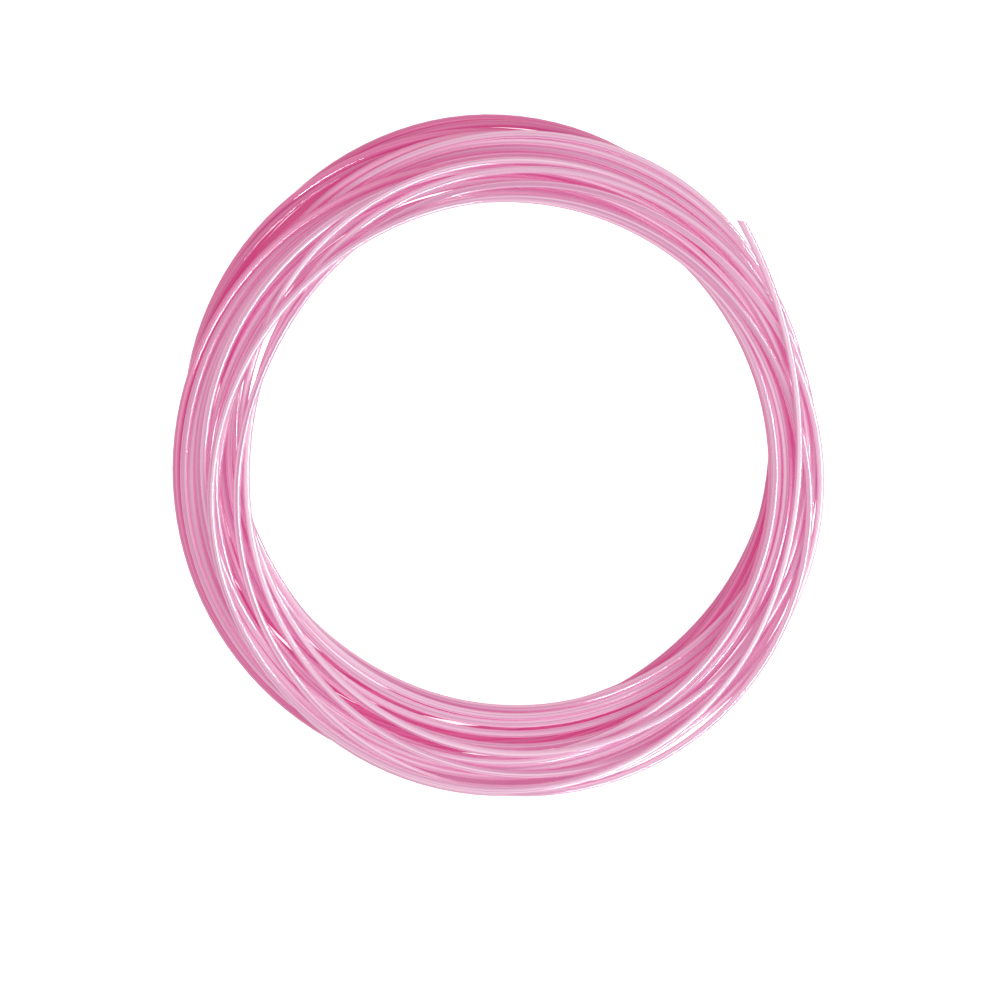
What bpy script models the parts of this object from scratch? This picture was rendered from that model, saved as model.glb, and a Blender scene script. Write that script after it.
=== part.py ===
"""A coil of heavy fishing line, lying flat: eleven metres of one thick pink monofilament
in twenty-five turns, with its outer end loose.

The whole object is one length of line. It is wound in five lays: runs of neighbouring turns that
were laid down together and slipped sideways together, so that each lay is an off-centre ring on
top of the one before. Each lay is one solid, a turned ring that holds as much material as its
turns do, and the stretch that has left the coil is a tube.

Metres, +Z up. The coil lies on the plane Z = 0 with the middle of its outline over the origin.
"""

from math import cos, pi, radians, sin

import bmesh
import bpy
from mathutils import Vector

LINE_DIAMETER = 0.0018
GAP = 0.0003  # clear space between two solids that touch on the real coil
LAY_THICKNESS = LINE_DIAMETER - GAP

# From the floor up: name, turns, the turns' mean radius, and how far and in which direction
# (degrees anticlockwise from +X) the lay has slipped from the middle of the coil.
LAYS = (
    ("bottom_lay", 6, 0.0692, 0.0068, 110),
    ("lower_lay", 6, 0.0682, 0.0052, 47),
    ("middle_lay", 5, 0.0694, 0.0042, 222),
    ("upper_lay", 4, 0.0698, 0.0071, 297),
    ("top_lay", 4, 0.0688, 0.0072, 312),
)

# The loose end leaves the top of the coil along this route: the distance from the middle of the
# coil, the direction in degrees, and how far the line has sunk from where it lies on the top lay.
LOOSE_END = (
    (0.0739, 6, 0.0),
    (0.0741, 14, 0.0),
    (0.0749, 22, 0.0),
    (0.0764, 30, 0.0),
    (0.0783, 37, 0.0002),
    (0.0802, 43.5, 0.0005),
)
POINT_SPACING = 2.5 * LINE_DIAMETER

RING_STEPS = 60
EDGE_POINTS = 5  # along each rounded side of a lay's section
TUBE_RESOLUTION = 2

LINE_PINK = (0.72, 0.25, 0.45, 1.0)


def line_material():
    """Glossy, slightly clear pink nylon."""
    material = bpy.data.materials.new("pink_line")
    material.use_nodes = True
    shader = material.node_tree.nodes["Principled BSDF"]
    shader.inputs["Base Color"].default_value = LINE_PINK
    shader.inputs["Roughness"].default_value = 0.3
    shader.inputs["Metallic"].default_value = 0.0
    material.diffuse_color = LINE_PINK
    return material


def lay_section(turns, mean_radius):
    """The outline of a lay's section, as (radius, height) points round a slab with round sides.

    The slab is one line thick, and as wide as it takes to hold the turns' own cross-sections.
    """
    turns_area = turns * pi * LINE_DIAMETER**2 / 4
    round_side = LAY_THICKNESS / 2
    flat_width = (turns_area - pi * round_side**2) / LAY_THICKNESS
    outline = []
    for side in (1, -1):
        for i in range(EDGE_POINTS):
            turned = side * (pi / 2 - pi * i / (EDGE_POINTS - 1))
            radius = mean_radius + side * (flat_width / 2 + round_side * cos(turned))
            outline.append((radius, round_side * (1 + sin(turned))))
    return outline


def turned_ring(name, section):
    """A ring turned from its section, with its axis on Z."""
    mesh = bpy.data.meshes.new(name)
    profile = bmesh.new()
    corners = [profile.verts.new((radius, 0, height)) for radius, height in section]
    for corner, following in zip(corners, corners[1:] + corners[:1]):
        profile.edges.new((corner, following))
    profile.to_mesh(mesh)
    profile.free()
    ring = bpy.data.objects.new(name, mesh)
    turn = ring.modifiers.new("turn", "SCREW")
    turn.steps = RING_STEPS
    turn.render_steps = RING_STEPS
    turn.use_merge_vertices = True
    turn.merge_threshold = 0.00001
    turn.use_smooth_shade = True
    return ring


def lays(collection, material):
    """The stacked lays, each slipped to its own side. Returns the height of the top lay."""
    height = 0.0
    for name, turns, mean_radius, slip, direction in LAYS:
        ring = turned_ring(name, lay_section(turns, mean_radius))
        bearing = radians(direction)
        ring.location = (slip * cos(bearing), slip * sin(bearing), height)
        ring.data.materials.append(material)
        collection.objects.link(ring)
        height += LAY_THICKNESS + GAP
    return height


def smooth_route(points, spacing):
    """Points at about this spacing along a smooth curve through the given ones."""
    route = [points[0]]
    ends = [2 * points[0] - points[1]] + points + [2 * points[-1] - points[-2]]
    for before, start, end, after in zip(ends, ends[1:], ends[2:], ends[3:]):
        pieces = max(1, round((end - start).length / spacing))
        leaving = (end - before) / 2
        arriving = (after - start) / 2
        for i in range(1, pieces + 1):
            t = i / pieces
            route.append(
                start * (2 * t**3 - 3 * t**2 + 1)
                + leaving * (t**3 - 2 * t**2 + t)
                + end * (3 * t**2 - 2 * t**3)
                + arriving * (t**3 - t**2)
            )
    return route


def loose_end(collection, material, top):
    """The stretch of line that has left the coil: it lies on the top lay and springs outwards."""
    resting = top + LINE_DIAMETER / 2
    points = []
    for distance, direction, sunk in LOOSE_END:
        bearing = radians(direction)
        points.append(Vector((distance * cos(bearing), distance * sin(bearing), resting - sunk)))
    route = smooth_route(points, POINT_SPACING)
    curve = bpy.data.curves.new("loose_end", "CURVE")
    curve.dimensions = "3D"
    curve.bevel_depth = LINE_DIAMETER / 2
    curve.bevel_resolution = TUBE_RESOLUTION
    curve.use_fill_caps = True
    spline = curve.splines.new("POLY")
    spline.points.add(len(route) - 1)
    for point, place in zip(spline.points, route):
        point.co = (*place, 1.0)
    spline.use_smooth = True
    tube = bpy.data.objects.new("loose_end", curve)
    tube.data.materials.append(material)
    collection.objects.link(tube)


def centre_over_origin(objects):
    """Moves the coil sideways until the middle of its outline is over the origin."""
    bpy.context.view_layer.update()
    graph = bpy.context.evaluated_depsgraph_get()
    places = []
    for part in objects:
        solid = part.evaluated_get(graph)
        places += [solid.matrix_world @ vertex.co for vertex in solid.to_mesh().vertices]
        solid.to_mesh_clear()
    for axis in (0, 1):
        low = min(place[axis] for place in places)
        high = max(place[axis] for place in places)
        for part in objects:
            part.location[axis] -= (low + high) / 2


def main():
    for leftover in list(bpy.data.objects):
        bpy.data.objects.remove(leftover)
    coil = bpy.data.collections.new("fishing_line_coil")
    bpy.context.scene.collection.children.link(coil)
    material = line_material()
    top = lays(coil, material)
    loose_end(coil, material, top)
    centre_over_origin(list(coil.objects))


main()
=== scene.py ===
"""The looks of a coil of heavy fishing line: one length of pink monofilament, wound turn by turn.

Each turn is first aimed along a slipped circle. Then the whole winding settles: the turns fall on
each other, and push each other aside where they would pass through one another. A tube mesh
follows the settled line from its buried inner end to the cut tip of its loose end. It stands for
all the CAD's nodes, which are stretches of the same line.

Metres, +Z up, in the CAD's frame: the coil lies on the plane Z = 0 round the origin.
"""

from math import radians, tan, tau

import bpy
import numpy as np
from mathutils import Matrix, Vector

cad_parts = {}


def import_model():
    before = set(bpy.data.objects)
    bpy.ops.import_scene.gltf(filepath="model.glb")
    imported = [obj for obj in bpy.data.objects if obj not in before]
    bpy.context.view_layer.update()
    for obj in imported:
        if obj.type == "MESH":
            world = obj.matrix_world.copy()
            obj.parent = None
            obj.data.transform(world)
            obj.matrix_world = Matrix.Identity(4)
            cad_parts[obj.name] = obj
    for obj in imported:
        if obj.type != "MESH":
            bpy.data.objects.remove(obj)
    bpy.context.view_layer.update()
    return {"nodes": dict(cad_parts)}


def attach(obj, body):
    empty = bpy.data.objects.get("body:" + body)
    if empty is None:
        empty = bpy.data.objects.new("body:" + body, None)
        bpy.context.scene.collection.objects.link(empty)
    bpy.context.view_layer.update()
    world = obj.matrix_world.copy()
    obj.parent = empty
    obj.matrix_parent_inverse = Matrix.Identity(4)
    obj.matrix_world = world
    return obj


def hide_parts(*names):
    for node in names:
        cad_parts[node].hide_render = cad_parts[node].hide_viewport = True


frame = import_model()

# ---------------------------------------------------------------- the line and its winding

LINE_DIAMETER = 0.0018
LINE_LENGTH = 10.9

# The lays from the floor up: how many turns, then the first and last turn's radius, slip from the
# middle of the coil, and direction of that slip (degrees anticlockwise from +X), and how much the
# lay is squeezed in along X and out along Y.
LAYS = (
    (6, (0.06965, 0.07013), (0.00963, 0.00260), (91.5, 150.0), 0.00034),
    (4, (0.06800, 0.06773), (0.01100, 0.00485), (66.0, 40.0), 0.00040),
    (2, (0.06908, 0.06943), (0.00432, 0.00304), (24.9, 336.1), 0.00078),
    (5, (0.07054, 0.06787), (0.00598, 0.00248), (209.1, 244.1), 0.00020),
    (4, (0.06911, 0.07084), (0.01033, 0.00258), (284.0, 310.0), 0.00027),
    (3, (0.06830, 0.06965), (0.00728, 0.01081), (363.5, 309.6), 0.00154),
    (1, (0.06829, 0.06829), (0.00981, 0.00981), (276.9, 276.9), 0.00040),
)
END_DIRECTION = 44.0  # degrees: the line starts and ends over this side of the coil
TAIL_TURN = 75.0  # degrees of the last turn over which the loose end springs outwards
TAIL_RISE = 0.0177  # how far out of its turn the tip ends up
TUCK_TURN = 60.0  # degrees of the first turn over which the inner end is tucked in below the rest
TUCK = 0.0054  # how far in from its turn the inner end lies

STATIONS = 120  # points in each turn
WANDERS = 7  # waves that make each turn stray from its circle
WANDER = 0.0003  # the strongest wave's height
WANDER_LEAST = 0.3  # the weakest wave's height, as a share of the strongest one's
WANDER_PERIODS = (0.3, 2.4)  # the shortest and longest wave, in turns
SEED = 7

# The settling works in line diameters.
SETTLE_STEPS = 2500
FIRST_RISE = 0.3  # how much higher each turn starts than the one before it
FALL = 0.03  # how far each point falls in the first step
LAST_PART = 0.85  # the share of the steps after which nothing falls and only overlaps are undone
HOLD = 0.03  # how strongly the line's stiffness keeps it to its aimed circle
LAST_HOLD = 0.3  # the share of that hold in the last part
FLOOR_HEIGHT = 0.5  # of the middle of a strand that lies on the floor
LEVEL = 0.05  # two turns closer in height than this count as this far apart, the later one on top
FAR_OFF = 10.0  # stands for a turn's distance from itself, so that it doesn't push itself
PUSH = 0.6  # the share of an overlap that each step undoes
SIDEWAYS = 0.6  # how much of the sideways push is used, so that turns rather climb than slide

TUBE_SIDES = 16
THICKNESS_DRIFT = 0.012  # the share by which the line's thickness goes up and down
DRIFT_WAVES = (0.011, 0.027, 0.064)  # over these lengths along the line
CUT_SLANT = 38.0  # degrees: the tip was snipped off at a slant
LINE_MAP = "along_and_round"  # the name of the UV map
SHARP_EDGE = 50.0  # degrees: edges at least this sharp, such as the cut's rim, aren't smoothed


def spread(first_and_last, count):
    """Evenly spaced values from the first to the last."""
    return np.linspace(*first_and_last, count)


def aimed_turns():
    """One row for each turn: radius, slip along X, slip along Y, squeeze."""
    rows = []
    for turns, radius, slip, direction, squeeze in LAYS:
        bearings = np.radians(spread(direction, turns))
        slips = spread(slip, turns)
        slips_x = slips * np.cos(bearings)
        slips_y = slips * np.sin(bearings)
        for values in zip(spread(radius, turns), slips_x, slips_y):
            rows.append((*values, squeeze))
    return np.array(rows)


def aimed_line():
    """The direction, and the distance from the middle, of each station of the aimed line."""
    rows = aimed_turns()
    turn = np.arange(len(rows) * STATIONS + 1) / STATIONS
    bearing = radians(END_DIRECTION) + tau * turn
    middle = np.clip(turn - 0.5, 0, len(rows) - 1)
    below = np.minimum(middle.astype(int), len(rows) - 2)
    share = middle - below
    share = (share * share * (3 - 2 * share))[:, None]  # starts and ends gently
    radius, slip_x, slip_y, squeeze = (rows[below] * (1 - share) + rows[below + 1] * share).T
    towards = slip_x * np.cos(bearing) + slip_y * np.sin(bearing)
    distance = towards + np.sqrt(towards**2 + radius**2 - slip_x**2 - slip_y**2)
    distance -= squeeze * np.cos(2 * bearing)
    chance = np.random.default_rng(SEED)
    for _ in range(WANDERS):
        period = chance.uniform(*WANDER_PERIODS)
        strength = WANDER * chance.uniform(WANDER_LEAST, 1.0)
        distance += strength * np.sin(tau * (turn / period + chance.random()))
    tail = np.clip(1 - (len(rows) - turn) * 360 / TAIL_TURN, 0, 1)
    tucked = np.clip(1 - turn * 360 / TUCK_TURN, 0, 1)
    return bearing, distance + TAIL_RISE * tail**2 - TUCK * tucked**2


def smoothed(values):
    """The values with each pulled halfway to its neighbours' mean, twice; the ends stay."""
    for _ in range(2):
        values = values.copy()
        values[1:-1] = values[1:-1] / 2 + (values[:-2] + values[2:]) / 4
    return values


def settled(aim):
    """The distance and height of each station once the turns lie on each other, in diameters."""
    turns = len(aim) // STATIONS
    number = np.arange(turns)
    later = np.sign(number[:, None] - number[None])[:, :, None]
    own = FAR_OFF * np.eye(turns)[:, :, None]
    distance = aim.copy()
    height = FLOOR_HEIGHT + FIRST_RISE * np.arange(len(aim)) / STATIONS
    for step in range(SETTLE_STEPS):
        falling = max(0.0, 1 - step / SETTLE_STEPS / LAST_PART)
        height -= FALL * falling
        distance += HOLD * (aim - distance) * (1.0 if falling else LAST_HOLD)
        across = distance[:-1].reshape(turns, STATIONS)
        up = height[:-1].reshape(turns, STATIONS)
        apart = across[:, None] - across[None]
        above = up[:, None] - up[None]
        above = np.where(np.abs(above) < LEVEL, LEVEL * later, above)
        gap = np.hypot(apart, above) + own
        push = PUSH * np.maximum(1 - gap, 0) / gap
        touching = np.sqrt(np.maximum((push > 0).sum(axis=1), 1))
        distance[:-1] += (SIDEWAYS * (push * apart).sum(axis=1) / touching).ravel()
        height[:-1] += ((push * above).sum(axis=1) / touching).ravel()
        distance[-1] = aim[-1] + distance[-2] - aim[-2]
        height[-1] = height[-2]
        height = np.maximum(smoothed(height), FLOOR_HEIGHT)
        distance = aim + smoothed(distance - aim)
    return distance, height


def line_route():
    """The settled line's points, from the buried inner end to the loose end's tip."""
    bearing, aimed = aimed_line()
    distance, height = settled(aimed / LINE_DIAMETER)
    flat = np.stack([distance * np.cos(bearing), distance * np.sin(bearing), height], axis=1)
    return LINE_DIAMETER * flat


def unit(vectors):
    """The vectors' directions."""
    return vectors / np.linalg.norm(vectors, axis=1, keepdims=True)


def tube_mesh(name, route):
    """A round tube along the route, square at its start and cut at a slant at its end.

    Its UV map runs in metres along the line, and once round it.
    """
    along = unit(np.gradient(route, axis=0))
    outward = unit(np.cross(along, (0, 0, 1)))
    lift = np.cross(outward, along)
    travelled = np.concatenate([[0], np.cumsum(np.linalg.norm(np.diff(route, axis=0), axis=1))])
    drift = sum(np.sin(travelled / wave + wave) for wave in DRIFT_WAVES) / len(DRIFT_WAVES)
    thickness = LINE_DIAMETER / 2 * (1 + THICKNESS_DRIFT * drift)
    round_angles = tau * np.arange(TUBE_SIDES) / TUBE_SIDES
    sideways = np.cos(round_angles)[:, None] * outward[:, None]
    upwards = np.sin(round_angles)[:, None] * lift[:, None]
    rings = route[:, None] + thickness[:, None, None] * (sideways + upwards)
    slant = LINE_DIAMETER / 2 * tan(radians(CUT_SLANT)) * np.cos(round_angles)
    rings[-1] -= slant[:, None] * along[-1]

    corner = np.arange(len(route) * TUBE_SIDES).reshape(len(route), TUBE_SIDES)
    onward = np.roll(corner, -1, axis=1)
    sides = np.stack([corner[:-1], onward[:-1], onward[1:], corner[1:]], axis=-1).reshape(-1, 4)
    faces = sides.tolist() + [corner[0, ::-1].tolist(), corner[-1].tolist()]
    mesh = bpy.data.meshes.new(name)
    mesh.from_pydata(rings.reshape(-1, 3).tolist(), [], faces)

    length_there = np.broadcast_to(travelled[:, None], corner.shape)
    turned_there = np.broadcast_to(np.arange(TUBE_SIDES) / TUBE_SIDES, corner.shape)
    here = np.stack([length_there, turned_there], axis=-1)
    ahead = np.stack([length_there, turned_there + 1 / TUBE_SIDES], axis=-1)
    side_map = np.stack([here[:-1], ahead[:-1], ahead[1:], here[1:]], axis=2)
    cap_map = np.concatenate([here[0, ::-1], here[-1]])
    layer = mesh.uv_layers.new(name=LINE_MAP)
    layer.data.foreach_set("uv", np.concatenate([side_map.reshape(-1, 2), cap_map]).ravel())
    mesh.shade_smooth()
    mesh.set_sharp_from_angle(angle=radians(SHARP_EDGE))
    return mesh


# ---------------------------------------------------------------- camera

CAMERA_HEIGHT = 1.2
SIGHT_HEIGHT = 0.006
PICTURE_WIDTH = 0.235  # metres across at the sight height
PICTURE_MIDDLE = (0.0008, -0.0100)
SENSOR = 36.0  # the camera's sensor, in its own millimetres


def camera():
    """Looks straight down on the coil."""
    data = bpy.data.cameras.new("camera")
    data.sensor_width = SENSOR
    data.lens = SENSOR * (CAMERA_HEIGHT - SIGHT_HEIGHT) / PICTURE_WIDTH
    view = bpy.data.objects.new("camera", data)
    view.location = (*PICTURE_MIDDLE, CAMERA_HEIGHT)
    bpy.context.scene.collection.objects.link(view)
    bpy.context.scene.camera = view


camera()

# ---------------------------------------------------------------- the wound line

route = line_route()
line = bpy.data.objects.new("wound_line", tube_mesh("wound_line", route))
bpy.context.scene.collection.objects.link(line)
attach(line, "root")
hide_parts(*frame["nodes"])

# ---------------------------------------------------------------- the line's material

# Painted shade: the lowest turns, and one halfway up, lie in shade under the others, so their
# colour is multiplied by a deeper pink: how much, at these distances in metres along the line.
PAINTED_SHADE_STRETCHES = ((0.0, 1.0), (2.5, 1.0), (3.1, 0.0), (5.1, 0.0), (5.3, 0.8), (5.65, 0.8), (5.85, 0.0))
PAINTED_SHADE_TINT = (0.80, 0.30, 0.46, 1)  # the painted shade's colour, which multiplies the line's own colour there

TINTS = ((0.38, (0.30, 0.25, 0.34, 1)), (0.62, (0.60, 0.61, 0.67, 1)))  # the streaks' noise, colour
PAINTED_GLOW_COLOUR = (1.0, 0.10, 0.36, 1)  # painted light: an even pink glow, though the line is no lamp, standing in for the dye's fluorescence and for light passing through the milky line into its shaded crevices
PAINTED_GLOW_STRENGTH = 0.36
ROUGHNESS = (0.12, 0.18)
NOISE_STRETCH = (12.0, 22.0, 0.0)  # for one metre along the line, and for once round it
STREAK_BUMP = 0.00005


def set_inputs(node, values):
    """Gives the node's named sockets these values."""
    for name, value in values.items():
        node.inputs[name].default_value = value


def line_material():
    """Glossy, milky pink nylon with faint streaks along it, an even painted pink glow, and painted
    shade on the shaded turns.
    """
    material = bpy.data.materials.new("pink_nylon")
    material.use_nodes = True
    nodes = material.node_tree.nodes
    links = material.node_tree.links
    shader = nodes["Principled BSDF"]
    set_inputs(shader, {"IOR": 1.53, "Specular IOR Level": 0.5})
    set_inputs(shader, {"Coat Weight": 1.0, "Coat Roughness": 0.03})
    # painted light: the even pink glow that keeps the shaded crevices a deep pink
    set_inputs(shader, {"Emission Color": PAINTED_GLOW_COLOUR, "Emission Strength": PAINTED_GLOW_STRENGTH})

    place = nodes.new("ShaderNodeUVMap")
    place.uv_map = LINE_MAP
    stretch = nodes.new("ShaderNodeVectorMath")
    stretch.operation = "MULTIPLY"
    stretch.inputs[1].default_value = NOISE_STRETCH
    links.new(place.outputs["UV"], stretch.inputs[0])

    # streaks of lighter and darker pink
    streaks = nodes.new("ShaderNodeTexNoise")
    set_inputs(streaks, {"Scale": 0.45, "Detail": 3.0})
    links.new(stretch.outputs[0], streaks.inputs["Vector"])
    tint = nodes.new("ShaderNodeValToRGB")
    for element, (level, colour) in zip(tint.color_ramp.elements, TINTS):
        element.position = level
        element.color = colour
    links.new(streaks.outputs["Fac"], tint.inputs["Fac"])

    # painted shade: the shaded turns get a deeper pink multiplied into their colour
    reached = nodes.new("ShaderNodeSeparateXYZ")
    links.new(place.outputs["UV"], reached.inputs[0])
    share = nodes.new("ShaderNodeMapRange")
    set_inputs(share, {"From Max": LINE_LENGTH})
    links.new(reached.outputs["X"], share.inputs["Value"])
    painted_shade = nodes.new("ShaderNodeValToRGB")
    while len(painted_shade.color_ramp.elements) < len(PAINTED_SHADE_STRETCHES):
        painted_shade.color_ramp.elements.new(1.0)
    for element, (distance, shaded) in zip(painted_shade.color_ramp.elements, PAINTED_SHADE_STRETCHES):
        element.position = distance / LINE_LENGTH
        element.color = (shaded, shaded, shaded, 1)
    links.new(share.outputs["Result"], painted_shade.inputs["Fac"])
    paint_shade = nodes.new("ShaderNodeMix")
    paint_shade.data_type = "RGBA"
    paint_shade.blend_type = "MULTIPLY"
    set_inputs(paint_shade, {"B": PAINTED_SHADE_TINT})
    links.new(painted_shade.outputs["Color"], paint_shade.inputs["Factor"])
    links.new(tint.outputs["Color"], paint_shade.inputs["A"])
    links.new(paint_shade.outputs["Result"], shader.inputs["Base Color"])

    rough = nodes.new("ShaderNodeMapRange")
    set_inputs(rough, {"To Min": ROUGHNESS[0], "To Max": ROUGHNESS[1]})
    links.new(streaks.outputs["Fac"], rough.inputs["Value"])
    links.new(rough.outputs["Result"], shader.inputs["Roughness"])

    # fine lengthwise unevenness, which breaks up the soft part of the shine
    unevenness = nodes.new("ShaderNodeTexNoise")
    set_inputs(unevenness, {"Scale": 1.5, "Detail": 4.0})
    links.new(stretch.outputs[0], unevenness.inputs["Vector"])
    bump = nodes.new("ShaderNodeBump")
    set_inputs(bump, {"Strength": 0.28, "Distance": STREAK_BUMP})
    links.new(unevenness.outputs["Fac"], bump.inputs["Height"])
    links.new(bump.outputs["Normal"], shader.inputs["Normal"])
    return material


line.data.materials.append(line_material())

# ---------------------------------------------------------------- floor and light

FLOOR_SIZE = 3.0
FLOOR_DROP = 0.0002  # how far the floor lies below the coil, so that they don't share a surface
FLOOR_GLOW = 0.8

LIGHT_AIM = (0, 0, 0.005)
GLINTS = {"place": (0.60, -0.24, 0.47), "size": (2.2, 0.10), "power": 40.0}
KEY = {"place": (0.55, -0.38, 0.60), "size": (0.5, 0.5), "power": 3.8}
WORLD_STRENGTH = 0.68


def floor():
    """A plain white floor. Light from it doesn't reach the line, whose sides would go white."""
    bpy.ops.mesh.primitive_plane_add(size=FLOOR_SIZE, location=(0, 0, -FLOOR_DROP))
    plane = bpy.context.object
    plane.name = "floor"
    plane.visible_diffuse = False
    plane.visible_glossy = False
    material = bpy.data.materials.new("white_sweep")
    material.use_nodes = True
    shader = material.node_tree.nodes["Principled BSDF"]
    set_inputs(shader, {"Base Color": (0.95, 0.95, 0.95, 1), "Roughness": 0.9})
    set_inputs(shader, {"Emission Color": (1, 1, 1, 1), "Emission Strength": FLOOR_GLOW})
    plane.data.materials.append(material)


def area_light(name, place, size, power, shine):
    """A rectangular light aimed at the coil, which gives either only shine or only plain light."""
    data = bpy.data.lights.new(name, "AREA")
    data.shape = "RECTANGLE"
    data.size, data.size_y = size
    data.energy = power
    lamp = bpy.data.objects.new(name, data)
    lamp.visible_diffuse = not shine
    lamp.visible_glossy = shine
    lamp.location = place
    towards = Vector(LIGHT_AIM) - Vector(place)
    lamp.rotation_euler = towards.to_track_quat("-Z", "Y").to_euler()
    bpy.context.scene.collection.objects.link(lamp)


def world():
    """Even white light from all round."""
    studio = bpy.data.worlds.new("studio")
    bpy.context.scene.world = studio
    studio.use_nodes = True
    background = studio.node_tree.nodes["Background"]
    set_inputs(background, {"Color": (1, 1, 1, 1), "Strength": WORLD_STRENGTH})


floor()
area_light("glints", **GLINTS, shine=True)
area_light("key", **KEY, shine=False)
world()
bpy.context.scene.view_settings.view_transform = "Standard"
